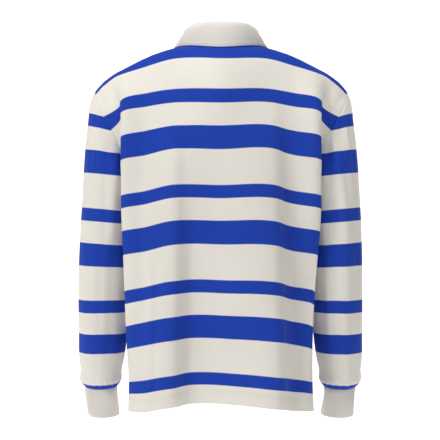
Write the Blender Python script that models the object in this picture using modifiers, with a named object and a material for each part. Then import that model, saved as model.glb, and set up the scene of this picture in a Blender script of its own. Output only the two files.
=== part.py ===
"""Rugby shirt, long sleeved, filled out as if worn and hollow all through.

Metres, +Z up. The front faces -Y and the wearer's left is +X. The origin is the middle of the neck
opening, level with the tops of the shoulders. Each cut piece is an open sheet with a Solidify, made
from a few named sections. A panel point is given by f, its share of the panel's half width
(0 at the centre line, 1 at the side seam or armhole), and q, its height on the cut cloth below the
top of the shoulders.
"""

import bisect
import math

import bmesh
import bpy
from mathutils import Vector

MM = 0.001

# Cloth, in metres
JERSEY = 1.5 * MM  # heavy cotton jersey
RIB = 2.0 * MM  # cuff rib
COLLAR_CLOTH = 1.8 * MM
BAND_CLOTH = 1.6 * MM
SEAM_GAP = 0.3 * MM
# Two walls that meet at an angle stand further apart than the seam's gap
SHOULDER_TRIM = 0.9 * MM  # off each panel's top edge
SHOULDER_GAP = 1.5 * MM  # between armhole and sleeve at the shoulder point
UNDERARM_GAP = 5.4 * MM  # and at the underarm
COLLAR_FOOT_TRIM = 2.6 * MM
BAND_CLEAR = 0.7 * MM  # more than the seam's gap between the front and each placket band
BUTTON_CLEAR = 0.5 * MM

# The cut, in millimetres of cloth height q
NECK_BACK_Q = -8.0
NECK_SIDE_Q = -26.0
NECK_FRONT_Q = 62.0
SHOULDER_POINT_Q = 22.0
UNDERARM_Q = 270.0
HEM_Q = 742.0
NECK_F = 0.30
NECK_BLEND = 0.08
NECK_SQUARENESS = 2.4  # 2 is an ellipse at the front neckline, and more is squarer
SHOULDER_BEND = 60.0  # below the shoulder seam, how far a panel takes to leave the seam's line
PLACKET_LENGTH = 165.0
SLIT_HALF_WIDTH = 9.0
SLIT_SHORTER = 12.0
UPPER_BAND_HALF_WIDTH = 16.0
UNDER_BAND_HALF_WIDTH = 15.0
BAND_TOP_DROP = 3.0
UNDER_BAND_SHORTER = 4.0
PANEL_HALF_WIDTH = 270.0
VENT_LENGTH = 40.0
VENT_GAP = 1.2

# How finely each piece is faceted
NECK_COLUMNS = 4
ARMHOLE_ROWS = 10
BODY_ROWS = 9
SLEEVE_ROWS = 15
ROW_CROWDING = 1.35  # over 1, the sleeve's rows lie closer together near the armhole
CUFF_ROWS = 3
COLLAR_COLUMNS = 13
BAND_ROWS = 6
BAND_COLUMNS = 4
BUTTON_SIDES = 20
WIDE_STATION = 0.12  # a stretch between stations wider than this takes two columns
NECK_SAMPLES = 14

# Buttons
BUTTON_COUNT = 3
BUTTON_RADIUS = 6.5 * MM
BUTTON_THICKNESS = 3.0 * MM
BUTTON_RIM = 0.8 * MM
FIRST_BUTTON_Q = 84.0
BUTTON_PITCH = 58.0

OFF_WHITE = (0.84, 0.81, 0.74, 1.0)
ROYAL_BLUE = (0.012, 0.058, 0.48, 1.0)

# Where each station of a panel section lies, as a share of the half width
STATIONS = {
    "centre": 0.0,
    "ridge": 0.36,
    "valley": 0.55,
    "crest": 0.76,
    "tuck": 0.83,
    "swell": 0.91,
    "edge": 1.0,
}

# Sections of the back, in millimetres: q, then x, y, z at centre, ridge, valley, crest, and at tuck,
# swell, edge. The crest is the long fold that stands out beside the arm, and the tuck is where the cloth
# turns in behind it.
BACK_SECTIONS = (
    (-26, (
        (0, 33, 12), (99, -12, -1), (152, -24, -24), (205, -36, -58),
        (218, -38, -66), (238, -42, -84), (255, -48, -112),
    )),
    (5, (
        (0, 48, -8), (100, 17, -6), (151, 4, -18), (207, -8, -45),
        (222, -10, -52), (245, -12, -66), (266, -14, -84),
    )),
    (36, (
        (0, 66, -33), (100, 38, -30), (148, 25, -41), (204, 17, -58),
        (220, 13, -64), (243, 9, -80), (266, 2, -100),
    )),
    (72, (
        (0, 84, -65), (100, 54, -62), (148, 44, -71), (203, 40, -86),
        (216, 29, -95), (237, 24, -110), (258, 20, -123),
    )),
    (107, (
        (0, 97, -98), (100, 67, -95), (149, 60, -102), (203, 58, -117),
        (208, 42, -128), (224, 37, -139), (243, 34, -148),
    )),
    (131, (
        (0, 100, -124), (100, 74, -121), (149, 66, -128), (203, 63, -141),
        (205, 45, -151), (215, 41, -163), (228, 38, -174),
    )),
    (178, (
        (0, 104, -172), (100, 88, -171), (150, 76, -180), (203, 68, -193),
        (200, 50, -201), (201, 40, -211), (204, 33, -220),
    )),
    (225, (
        (0, 105, -219), (101, 97, -218), (150, 81, -229), (203, 70, -241),
        (198, 54, -249), (191, 41, -256), (185, 23, -262),
    )),
    (270, (
        (0, 105, -264), (102, 100, -264), (150, 83, -275), (202, 70, -286),
        (195, 56, -292), (182, 43, -296), (173, 10, -298),
    )),
    (300, (
        (0, 104, -294), (102, 101, -294), (150, 84, -305), (202, 70, -316),
        (193, 54, -321), (177, 37, -325), (164, 14, -327),
    )),
    (420, (
        (0, 101, -414), (103, 103, -416), (150, 85, -428), (198, 67, -438),
        (190, 52, -442), (176, 36, -445), (165, 18, -447),
    )),
    (558, (
        (0, 95, -552), (105, 106, -556), (149, 89, -566), (190, 64, -578),
        (187, 51, -581), (181, 39, -583), (174, 26, -584),
    )),
    (742, (
        (0, 88, -731), (107, 106, -737), (148, 90, -747), (174, 67, -750),
        (180, 54, -752), (184, 40, -754), (185, 22, -756),
    )),
)
# Sections of the front, in the same order
FRONT_SECTIONS = (
    (-26, (
        (0, -20, 8), (98, -6, 1), (152, 6, -23), (205, 20, -58),
        (218, 22, -66), (238, 26, -84), (255, 32, -112),
    )),
    (5, (
        (0, -55, -14), (99, -32, -14), (151, -20, -24), (207, -8, -45),
        (222, -6, -52), (245, -4, -66), (263, -2, -86),
    )),
    (36, (
        (0, -80, -38), (98, -55, -38), (148, -43, -46), (204, -30, -60),
        (220, -28, -67), (243, -24, -83), (262, -18, -98),
    )),
    (72, (
        (0, -94, -70), (98, -78, -68), (148, -65, -76), (201, -48, -88),
        (215, -42, -96), (235, -38, -112), (254, -33, -122),
    )),
    (107, (
        (0, -102, -101), (98, -92, -100), (148, -80, -107), (198, -60, -120),
        (207, -54, -128), (222, -50, -138), (240, -45, -149),
    )),
    (131, (
        (0, -107, -125), (98, -98, -125), (148, -87, -132), (195, -67, -144),
        (202, -59, -152), (213, -55, -164), (226, -50, -175),
    )),
    (178, (
        (0, -113, -172), (98, -104, -172), (147, -94, -182), (190, -76, -196),
        (194, -63, -205), (198, -53, -214), (203, -45, -221),
    )),
    (225, (
        (0, -116, -219), (98, -107, -220), (146, -98, -231), (183, -78, -245),
        (184, -62, -254), (185, -47, -260), (186, -33, -264),
    )),
    (270, (
        (0, -116, -264), (98, -107, -265), (145, -98, -277), (178, -76, -290),
        (176, -56, -296), (173, -27, -299), (173, 10, -298),
    )),
    (300, (
        (0, -115, -294), (98, -107, -296), (145, -97, -307), (174, -74, -318),
        (169, -52, -323), (163, -21, -326), (164, 14, -327),
    )),
    (420, (
        (0, -109, -414), (98, -103, -416), (145, -90, -426), (173, -66, -438),
        (170, -46, -442), (164, -16, -446), (165, 18, -447),
    )),
    (558, (
        (0, -101, -552), (98, -97, -556), (144, -82, -565), (174, -58, -576),
        (177, -38, -580), (175, -8, -583), (174, 26, -584),
    )),
    (742, (
        (0, -94, -731), (98, -92, -736), (140, -76, -744), (170, -50, -750),
        (178, -32, -753), (183, -6, -755), (185, 22, -756),
    )),
)

# Rings of the sleeve, in millimetres: t, the height on the cut sleeve; z of the ring at RING_X; rise, how
# much z climbs for each millimetre outwards; the outer and inner x; the middle and half depth in y.
RING_X = 245.0
SLEEVE_RINGS = (
    # t     z      rise   outer  inner   y_mid  y_half
    (40, -92.0, 0.45, 264.0, 150.0, -5.0, 44.0),
    (107, -147.0, 0.32, 275.0, 160.0, -4.0, 52.0),
    (178, -219.0, 0.14, 283.5, 172.0, -3.0, 56.0),
    (260, -301.0, 0.10, 289.0, 180.0, -4.0, 57.0),
    (370, -412.0, 0.07, 294.5, 184.0, -6.0, 56.0),
    (487, -527.0, 0.0, 297.0, 190.0, -13.0, 53.0),
    (560, -600.0, 0.0, 297.5, 196.0, -22.0, 50.0),
    (640, -668.0, 0.0, 296.5, 207.0, -34.0, 45.0),
    (672, -699.0, 0.0, 291.0, 216.0, -39.0, 39.0),
    (683, -712.0, 0.0, 286.0, 220.0, -41.0, 34.0),
)
# The cuff hangs tilted, its back lower than its front, and the sleeve turns into that tilt above it
CUFF_TILT = 0.24  # drop for each millimetre backwards
TILT_START = 560.0
# Rings of the cuff, which hangs below the sleeve: drop below its seam, outer and inner x, y_mid, y_half
CUFF_RINGS = (
    (0, 286.0, 220.0, -41.0, 34.0),
    (22, 284.0, 219.5, -43.5, 33.0),
    (45, 282.5, 217.0, -46.0, 33.5),
    (60, 282.0, 215.0, -48.0, 34.5),
)
# The cloth height over which the sleeve leaves the armhole's line for its rings
SHOULDER_FADE = 105.0
UNDERARM_FADE = 34.0

# The collar's fold line from the centre back round to the centre front, in millimetres
COLLAR_FOLD = (
    # round  x, y, z
    (0.00, (0, 45, 48.5)),
    (0.18, (35, 41, 49.0)),
    (0.36, (61, 27, 45.5)),
    (0.52, (78, 4, 34.0)),
    (0.66, (75, -28, 14.0)),
    (0.82, (52, -62, -14.0)),
    (1.00, (12, -86, -36.0)),
)
# Where the collar's outer edge lies on the back, and past the shoulder seam on the front
COLLAR_SHOULDER = 0.58
COLLAR_ON_BACK = (
    # round  f      q
    (0.00, 0.00, 2.0),
    (0.18, 0.14, 0.0),
    (0.36, 0.26, -6.0),
    (0.50, 0.35, -14.0),
    (COLLAR_SHOULDER, 0.37, -21.2),
)
COLLAR_ON_FRONT = (
    (COLLAR_SHOULDER, 0.37, -21.2),
    (0.66, 0.37, 2.0),
    (0.82, 0.31, 46.0),
    (1.00, 0.22, 96.0),
)
FOLD_HALF = 2.6  # half the width of the roll along the fold line
FOLD_DROP = 4.0  # how far below the fold line the roll's two sides are measured
STAND_BOW = 0.8  # how far the stand bows in at its middle
FALL_BOWS = ((0.35, 2.0), (0.7, 1.2))  # share of the way down the fall, and how far it bows out there
COLLAR_CLEAR = 3.4  # the collar's outer edge above the panel it lies on


# ---- Interpolation


def spline(knots, values, at):
    """A smooth curve through the values, which may be numbers or vectors; straight past its ends."""
    i = min(max(bisect.bisect_right(knots, at) - 1, 0), len(knots) - 2)
    span = knots[i + 1] - knots[i]

    def slope(j):
        low, high = max(j - 1, 0), min(j + 1, len(knots) - 1)
        if high - low < 2:
            return (values[high] - values[low]) / (knots[high] - knots[low])
        before = (values[j] - values[low]) / (knots[j] - knots[low])
        after = (values[high] - values[j]) / (knots[high] - knots[j])
        share = (knots[j] - knots[low]) / (knots[high] - knots[low])
        return before * (1 - share) + after * share

    s = (at - knots[i]) / span
    if s < 0:
        return values[i] + slope(i) * (at - knots[i])
    if s > 1:
        return values[i + 1] + slope(i + 1) * (at - knots[i + 1])
    rise = values[i + 1] - values[i]
    a, b = slope(i) * span, slope(i + 1) * span
    return values[i] + a * s + (rise * 3 - a * 2 - b) * s**2 + (a + b - rise * 2) * s**3


def smooth_step(s):
    s = min(max(s, 0.0), 1.0)
    return s * s * (3 - 2 * s)


def blend(low, high, share):
    return low + (high - low) * share


# ---- The two panels


def raw_panel(sections, f, q):
    """The point f, q of a panel, in millimetres, before its shoulder is laid on the seam line."""
    heights = [row[0] for row in sections]
    names = list(STATIONS.values())
    across = [spline(heights, [Vector(row[1][i]) for row in sections], q) for i in range(len(names))]
    shares = [-s for s in reversed(names[1:])] + names
    mirrored = [Vector((-p.x, p.y, p.z)) for p in reversed(across[1:])]
    return spline(shares, mirrored + across, f)


def shoulder_q(f):
    """The cloth height of the shoulder seam at f."""
    share = (abs(f) - NECK_F) / (1 - NECK_F)
    return blend(NECK_SIDE_Q, SHOULDER_POINT_Q, share)


def shoulder_line(f):
    """The shoulder seam, halfway between where the two panels put it."""
    q = shoulder_q(f)
    return (raw_panel(BACK_SECTIONS, f, q) + raw_panel(FRONT_SECTIONS, f, q)) / 2


def panel(sections, f, q):
    """The point f, q of a panel in millimetres. Near the shoulder it bends to the seam line."""
    point = raw_panel(sections, f, q)
    if abs(f) < NECK_F - NECK_BLEND:
        return point
    seam_q = shoulder_q(f)
    off = shoulder_line(f) - raw_panel(sections, f, seam_q)
    near_seam = 1 - smooth_step((q - seam_q) / SHOULDER_BEND)
    past_neck = smooth_step((abs(f) - NECK_F + NECK_BLEND) / NECK_BLEND)
    return point + off * near_seam * past_neck


def side_of(sections):
    """+1 where the panel's outside faces +Y, and -1 at the front."""
    return 1 if sections is BACK_SECTIONS else -1


def lifted(sections, f, q, by):
    """A point of the panel moved out of its surface by so many millimetres."""
    f_step, q_step = 0.01, 2.0
    across = panel(sections, f + f_step, q) - panel(sections, f - f_step, q)
    down = panel(sections, f, q + q_step) - panel(sections, f, q - q_step)
    normal = across.cross(down).normalized() * side_of(sections)
    return panel(sections, f, q) + normal * by


def neck_q(sections, f):
    """The cloth height of the neckline at f."""
    share = min(abs(f) / NECK_F, 1.0)
    if sections is BACK_SECTIONS:
        return blend(NECK_BACK_Q, NECK_SIDE_Q, share**2)
    return NECK_SIDE_Q + (NECK_FRONT_Q - NECK_SIDE_Q) * math.sqrt(max(1 - share**NECK_SQUARENESS, 0.0))


def top_q(sections, f):
    return neck_q(sections, f) if abs(f) <= NECK_F else shoulder_q(f)


def panel_columns(sections):
    """Shares of the half width at which a panel has columns, closer together at its folds."""
    steps = [i / NECK_COLUMNS for i in range(NECK_COLUMNS + 1)]
    if sections is BACK_SECTIONS:
        neck = [NECK_F * s for s in steps]
    else:
        slit = SLIT_HALF_WIDTH / PANEL_HALF_WIDTH
        neck = [0.0] + [blend(slit, NECK_F, math.sin(math.pi / 2 * s)) for s in steps]
    ends = list(STATIONS.values())[1:]
    shoulder = []
    low = NECK_F
    for high in ends:
        pieces = 2 if high - low > WIDE_STATION else 1
        shoulder += [blend(low, high, (i + 1) / pieces) for i in range(pieces)]
        low = high
    half = neck + shoulder
    return [-f for f in reversed(half[1:])] + half


def edge_heights():
    """Cloth heights of the rows where they meet the armhole and the side seam."""
    armhole = [blend(SHOULDER_POINT_Q, UNDERARM_Q, i / ARMHOLE_ROWS) for i in range(ARMHOLE_ROWS + 1)]
    below = [blend(UNDERARM_Q, HEM_Q - VENT_LENGTH, (i + 1) / BODY_ROWS) for i in range(BODY_ROWS)]
    return armhole + below + [HEM_Q - VENT_LENGTH / 2, HEM_Q]


def vent_spread(sections, f, q):
    """Below the top of the vent, the back's side edges stand back from the front's by a little."""
    if abs(f) < 1 or q <= HEM_Q - VENT_LENGTH:
        return Vector((0, 0, 0))
    share = (q - HEM_Q + VENT_LENGTH) / VENT_LENGTH
    return Vector((0, VENT_GAP * share * side_of(sections), 0))


def panel_grid(sections):
    """Rows of points over a whole panel, from its top edge to its hem, in millimetres."""
    heights = edge_heights()
    span = HEM_Q - SHOULDER_POINT_Q
    columns = panel_columns(sections)
    grid = []
    for height in heights:
        share = (height - SHOULDER_POINT_Q) / span
        row = []
        for f in columns:
            q = blend(top_q(sections, f), HEM_Q, share)
            if sections is FRONT_SECTIONS and f == 0:
                q = blend(neck_q(sections, SLIT_HALF_WIDTH / PANEL_HALF_WIDTH), HEM_Q, share)
            row.append(panel(sections, f, q) + vent_spread(sections, f, q))
        grid.append(row)
    return grid


# ---- The sleeves and cuffs


def ring_point(t, angle):
    """A point of the left sleeve's tube; angle 0 is outermost, 90 at the back and 180 innermost."""
    keys = [row[0] for row in SLEEVE_RINGS]
    z, rise, outer, inner, y_mid, y_half = (
        spline(keys, [row[i] for row in SLEEVE_RINGS], t) for i in range(1, 7)
    )
    x = (outer + inner) / 2 + (outer - inner) / 2 * math.cos(math.radians(angle))
    y = y_mid + y_half * math.sin(math.radians(angle))
    tilt = CUFF_TILT * smooth_step((t - TILT_START) / (SLEEVE_RINGS[-1][0] - TILT_START))
    return Vector((x, y, z + rise * (x - RING_X) - tilt * (y - y_mid)))


def ring_height(point):
    """The cloth height t of the sleeve's ring that passes through a point."""
    low, high = SLEEVE_RINGS[0][0] - 60.0, SLEEVE_RINGS[-1][0] * 1.0
    keys = [row[0] for row in SLEEVE_RINGS]
    for _ in range(40):
        t = (low + high) / 2
        z = spline(keys, [row[1] for row in SLEEVE_RINGS], t)
        rise = spline(keys, [row[2] for row in SLEEVE_RINGS], t)
        if z + rise * (point.x - RING_X) > point.z:
            low = t
        else:
            high = t
    return (low + high) / 2


def armhole_loop():
    """The left armhole's seam points: from the shoulder point down the back, and up the front."""
    heights = edge_heights()[: ARMHOLE_ROWS + 1]
    down = [panel(BACK_SECTIONS, 1.0, q) for q in heights]
    up = [panel(FRONT_SECTIONS, 1.0, q) for q in reversed(heights[1:-1])]
    return down + up


def round_armhole(i, at_shoulder, at_underarm):
    """A value for column i of the sleeve, which goes smoothly from the shoulder point to the underarm."""
    return blend(at_shoulder, at_underarm, (1 - math.cos(math.pi * i / ARMHOLE_ROWS)) / 2)


def sleeve_row(j):
    """How far down the sleeve row j lies, from 0 to 1: closer together at both ends."""
    share = j / SLEEVE_ROWS
    return (share**ROW_CROWDING + smooth_step(share)) / 2


def sleeve_grid():
    """Rows of points down the left sleeve, the first of them on the armhole."""
    loop = armhole_loop()
    count = len(loop)
    end = SLEEVE_RINGS[-1][0]
    grid = [[None] * count for _ in range(SLEEVE_ROWS + 1)]
    for i, start in enumerate(loop):
        angle = 360 * i / count
        first = ring_height(start)
        off = start - ring_point(first, angle)
        fade_length = round_armhole(i, SHOULDER_FADE, UNDERARM_FADE)
        for j in range(SLEEVE_ROWS + 1):
            t = blend(first, end, sleeve_row(j))
            fade = 1 - smooth_step((t - first) / fade_length)
            grid[j][i] = ring_point(t, angle) + off * fade
    return grid


def cuff_grid():
    """Rows of points down the left cuff."""
    count = 2 * ARMHOLE_ROWS
    keys = [row[0] for row in CUFF_RINGS]
    seam_z = SLEEVE_RINGS[-1][1]
    grid = []
    for j in range(CUFF_ROWS + 1):
        drop = keys[-1] * j / CUFF_ROWS
        outer, inner, y_mid, y_half = (
            spline(keys, [row[i] for row in CUFF_RINGS], drop) for i in range(1, 5)
        )
        row = []
        for i in range(count):
            angle = 2 * math.pi * i / count
            x = (outer + inner) / 2 + (outer - inner) / 2 * math.cos(angle)
            back = y_half * math.sin(angle)
            row.append(Vector((x, y_mid + back, seam_z - drop - CUFF_TILT * back)))
        grid.append(row)
    return grid


# ---- The collar


def neck_seam():
    """(how far round, point) of the neckline from the centre back to the slit, evenly along its length."""
    slit = SLIT_HALF_WIDTH / PANEL_HALF_WIDTH
    shares = [i / NECK_SAMPLES for i in range(NECK_SAMPLES + 1)]
    back = [NECK_F * share for share in shares]
    front = [blend(NECK_F, slit, math.sin(math.pi / 2 * share) ** 2) for share in shares]
    points = [panel(BACK_SECTIONS, f, neck_q(BACK_SECTIONS, f)) for f in back]
    points += [panel(FRONT_SECTIONS, f, neck_q(FRONT_SECTIONS, f)) for f in front[1:]]
    along = [0.0]
    for a, b in zip(points, points[1:]):
        along.append(along[-1] + (b - a).length)
    return [s / along[-1] for s in along], points


def collar_profile(share, seam):
    """The collar's section at one place round the neck: up the stand, over the fold, down the fall."""
    fold = spline([row[0] for row in COLLAR_FOLD], [Vector(row[1]) for row in COLLAR_FOLD], share)
    on_back = share < COLLAR_SHOULDER
    path = COLLAR_ON_BACK if on_back else COLLAR_ON_FRONT
    f, q = (spline([row[0] for row in path], [row[i] for row in path], share) for i in (1, 2))
    edge = lifted(BACK_SECTIONS if on_back else FRONT_SECTIONS, f, q, COLLAR_CLEAR)
    foot = spline(seam[0], seam[1], share)
    out = Vector((edge.x - foot.x, edge.y - foot.y, 0)).normalized()
    inner = fold - out * FOLD_HALF - Vector((0, 0, FOLD_DROP))
    outer = fold + out * FOLD_HALF - Vector((0, 0, FOLD_DROP))
    stand = [foot, blend(foot, inner, 0.5) - out * STAND_BOW, inner]
    fall = [blend(outer, edge, down) + out * bow for down, bow in FALL_BOWS]
    return stand + [fold, outer] + fall + [edge]


def collar_grid():
    """Rows of points round the collar, from its foot over the fold to its outer edge."""
    seam = neck_seam()
    shares = [i / COLLAR_COLUMNS for i in range(COLLAR_COLUMNS + 1)]
    half = [collar_profile(share, seam) for share in shares]
    mirrored = [[Vector((-p.x, p.y, p.z)) for p in profile] for profile in reversed(half[1:])]
    profiles = mirrored + half
    return [list(row) for row in zip(*profiles)]


# ---- The placket


def band_grid(lift, half_width, start, end):
    """A strip down the centre of the front, lying so far out of it; lift below 0 is inside."""
    grid = []
    for j in range(BAND_ROWS + 1):
        q = blend(start, end, j / BAND_ROWS)
        row = []
        for i in range(BAND_COLUMNS + 1):
            f = half_width * (2 * i / BAND_COLUMNS - 1) / PANEL_HALF_WIDTH
            row.append(lifted(FRONT_SECTIONS, f, q, lift))
        grid.append(row)
    return grid


# ---- Making the objects


def trimmed(grid, gap, top=False, bottom=False, sides=False):
    """The grid with its named edges drawn back by gap, in metres, along the cloth."""
    rows = [list(row) for row in grid]

    def drawn(point, towards):
        return point + (towards - point).normalized() * gap / MM

    if top:
        rows[0] = [drawn(a, b) for a, b in zip(rows[0], rows[1])]
    if bottom:
        rows[-1] = [drawn(a, b) for a, b in zip(rows[-1], rows[-2])]
    if sides:
        for row in rows:
            row[0] = drawn(row[0], row[1])
            row[-1] = drawn(row[-1], row[-2])
    return rows


def mirror_x(grid):
    return [[Vector((-p.x, p.y, p.z)) for p in row] for row in grid]


def sheet_mesh(name, grid, closed=False, left_out=()):
    """An open sheet over a grid of millimetre points. closed joins the last column to the first."""
    mesh = bmesh.new()
    verts = [[mesh.verts.new(p * MM) for p in row] for row in grid]
    count = len(grid[0])
    for j in range(len(grid) - 1):
        for i in range(count if closed else count - 1):
            if (j, i) in left_out:
                continue
            k = (i + 1) % count
            mesh.faces.new((verts[j][i], verts[j + 1][i], verts[j + 1][k], verts[j][k]))
    for vert in [v for v in mesh.verts if not v.link_faces]:
        mesh.verts.remove(vert)
    data = bpy.data.meshes.new(name)
    mesh.to_mesh(data)
    mesh.free()
    data.shade_smooth()
    return data


def principled(name, colour, roughness):
    material = bpy.data.materials.new(name)
    material.use_nodes = True
    shader = material.node_tree.nodes["Principled BSDF"]
    shader.inputs["Base Color"].default_value = colour
    shader.inputs["Roughness"].default_value = roughness
    shader.inputs["Metallic"].default_value = 0.0
    return material


def add_sheet(name, grid, thickness, material, collection, closed=False, left_out=()):
    obj = bpy.data.objects.new(name, sheet_mesh(name, grid, closed, left_out))
    obj.data.materials.append(material)
    collection.objects.link(obj)
    wall = obj.modifiers.new("cloth", "SOLIDIFY")
    wall.thickness = thickness
    wall.offset = 0
    return obj


def add_button(name, q, material, collection):
    mesh = bmesh.new()
    bmesh.ops.create_cone(
        mesh,
        cap_ends=True,
        segments=BUTTON_SIDES,
        radius1=BUTTON_RADIUS,
        radius2=BUTTON_RADIUS,
        depth=BUTTON_THICKNESS,
    )
    data = bpy.data.meshes.new(name)
    mesh.to_mesh(data)
    mesh.free()
    obj = bpy.data.objects.new(name, data)
    obj.data.materials.append(material)
    collection.objects.link(obj)
    under = JERSEY / 2 + SEAM_GAP + BAND_CLEAR + BAND_CLOTH
    lift = (under + BUTTON_CLEAR + BUTTON_THICKNESS / 2) / MM
    centre = lifted(FRONT_SECTIONS, 0.0, q, lift)
    normal = (centre - panel(FRONT_SECTIONS, 0.0, q)).normalized()
    obj.location = centre * MM
    obj.rotation_euler = Vector((0, 0, 1)).rotation_difference(normal).to_euler()
    rim = obj.modifiers.new("rim", "BEVEL")
    rim.width = BUTTON_RIM
    rim.segments = 2
    return obj


def slit_faces(grid):
    """The front's faces above the placket's end and between its two slit columns."""
    middle = len(grid[0]) // 2
    end = NECK_FRONT_Q + PLACKET_LENGTH - SLIT_SHORTER
    span = HEM_Q - SHOULDER_POINT_Q
    gone = set()
    for j, height in enumerate(edge_heights()[1:]):
        q = blend(NECK_FRONT_Q, HEM_Q, (height - SHOULDER_POINT_Q) / span)
        if q <= end:
            gone |= {(j, middle - 1), (j, middle)}
    return gone


def clear_scene():
    for obj in list(bpy.data.objects):
        bpy.data.objects.remove(obj, do_unlink=True)


def main():
    clear_scene()
    shirt = bpy.data.collections.new("rugby_shirt")
    bpy.context.scene.collection.children.link(shirt)
    jersey = principled("striped_jersey", ROYAL_BLUE, 0.85)
    rib = principled("off_white_rib", OFF_WHITE, 0.85)
    twill = principled("off_white_twill", OFF_WHITE, 0.8)
    rubber = principled("button_rubber", OFF_WHITE, 0.5)

    back = trimmed(panel_grid(BACK_SECTIONS), SHOULDER_TRIM, top=True)
    back = trimmed(back, SEAM_GAP, sides=True)
    front = trimmed(panel_grid(FRONT_SECTIONS), SHOULDER_TRIM, top=True)
    front = trimmed(front, SEAM_GAP, sides=True)
    add_sheet("back", back, JERSEY, jersey, shirt)
    add_sheet("front", mirror_x(front), JERSEY, jersey, shirt, left_out=slit_faces(front))

    sleeve = trimmed(sleeve_grid(), SEAM_GAP, bottom=True)
    sleeve[0] = [
        point + (below - point).normalized() * round_armhole(i, SHOULDER_GAP, UNDERARM_GAP) / MM
        for i, (point, below) in enumerate(zip(sleeve[0], sleeve[1]))
    ]
    cuff = trimmed(cuff_grid(), SEAM_GAP, top=True)
    for name, shape in (("left", lambda grid: grid), ("right", mirror_x)):
        add_sheet(f"sleeve_{name}", shape(sleeve), JERSEY, jersey, shirt, closed=True)
        add_sheet(f"cuff_{name}", shape(cuff), RIB, rib, shirt, closed=True)

    collar = trimmed(collar_grid(), COLLAR_FOOT_TRIM, top=True)
    add_sheet("collar", collar, COLLAR_CLOTH, twill, shirt)

    lift = ((JERSEY + BAND_CLOTH) / 2 + SEAM_GAP + BAND_CLEAR) / MM
    start = NECK_FRONT_Q + BAND_TOP_DROP
    end = NECK_FRONT_Q + PLACKET_LENGTH
    upper = band_grid(lift, UPPER_BAND_HALF_WIDTH, start, end)
    under = band_grid(-lift, UNDER_BAND_HALF_WIDTH, start, end - UNDER_BAND_SHORTER)
    add_sheet("placket_upper", mirror_x(upper), BAND_CLOTH, twill, shirt)
    add_sheet("placket_under", mirror_x(under), BAND_CLOTH, twill, shirt)
    for i in range(BUTTON_COUNT):
        add_button(f"button_{i + 1}", FIRST_BUTTON_Q + BUTTON_PITCH * i, rubber, shirt)


main()
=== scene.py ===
"""Looks of a long-sleeved rugby shirt, filled out as if worn, with nobody in it.

Metres, +Z up. The front faces -Y and the wearer's left is +X. Each piece is a thin shell on the
form of its solid, made from the same sections, rings and seam lines, sampled finely, with creases,
rolled seams, rib, gathers and stitches added. A panel point is given by f, its share of the panel's
half width, and q, its height on the cut cloth below the top of the shoulders, in millimetres. Each
shell has a map named cloth, of metres on the cut cloth, so hoops and knit follow it as it folds.
"""

import math

import bpy
import numpy as np
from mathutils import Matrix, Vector


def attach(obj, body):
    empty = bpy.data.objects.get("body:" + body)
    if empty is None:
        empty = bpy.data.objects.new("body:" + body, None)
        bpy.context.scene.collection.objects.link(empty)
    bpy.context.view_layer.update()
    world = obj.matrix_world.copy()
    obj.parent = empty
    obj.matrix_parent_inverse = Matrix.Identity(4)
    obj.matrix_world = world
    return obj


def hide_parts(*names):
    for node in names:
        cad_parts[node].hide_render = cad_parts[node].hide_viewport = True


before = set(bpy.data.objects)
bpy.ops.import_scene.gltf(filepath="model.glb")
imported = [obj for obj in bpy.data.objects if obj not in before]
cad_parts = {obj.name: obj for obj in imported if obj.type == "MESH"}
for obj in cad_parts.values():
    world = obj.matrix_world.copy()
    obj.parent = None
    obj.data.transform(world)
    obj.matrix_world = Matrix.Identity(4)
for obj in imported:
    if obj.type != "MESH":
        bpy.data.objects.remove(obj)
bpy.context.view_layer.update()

MM = 0.001

# Cloth, in metres
JERSEY = 1.5 * MM
RIB = 2.0 * MM
COLLAR_CLOTH = 1.8 * MM
BAND_CLOTH = 1.6 * MM
SEAM_GAP = 0.3 * MM
BAND_CLEAR = 0.7 * MM
BUTTON_CLEAR = 0.5 * MM

# Buttons
BUTTON_COUNT = 3
BUTTON_RADIUS = 6.5 * MM
BUTTON_THICKNESS = 3.0 * MM
FIRST_BUTTON_Q = 84.0
BUTTON_PITCH = 58.0

# The cut, in millimetres of cloth height q
NECK_BACK_Q = -8.0
NECK_SIDE_Q = -26.0
NECK_FRONT_Q = 62.0
SHOULDER_POINT_Q = 22.0
UNDERARM_Q = 270.0
HEM_Q = 742.0
NECK_F = 0.30
NECK_BLEND = 0.08
NECK_SQUARENESS = 2.4  # 2 is an ellipse at the front neckline, and more is squarer
SHOULDER_BEND = 60.0  # below the shoulder seam, how far a panel takes to leave the seam's line
PLACKET_LENGTH = 165.0
SLIT_HALF_WIDTH = 9.0
SLIT_SHORTER = 12.0
UPPER_BAND_HALF_WIDTH = 16.0
UNDER_BAND_HALF_WIDTH = 15.0
UNDER_BAND_SHORTER = 4.0
PANEL_HALF_WIDTH = 270.0
VENT_LENGTH = 40.0

# Where each station of a panel section lies, as a share of the half width
STATIONS = {
    "centre": 0.0,
    "ridge": 0.36,
    "valley": 0.55,
    "crest": 0.76,
    "tuck": 0.83,
    "swell": 0.91,
    "edge": 1.0,
}

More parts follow.
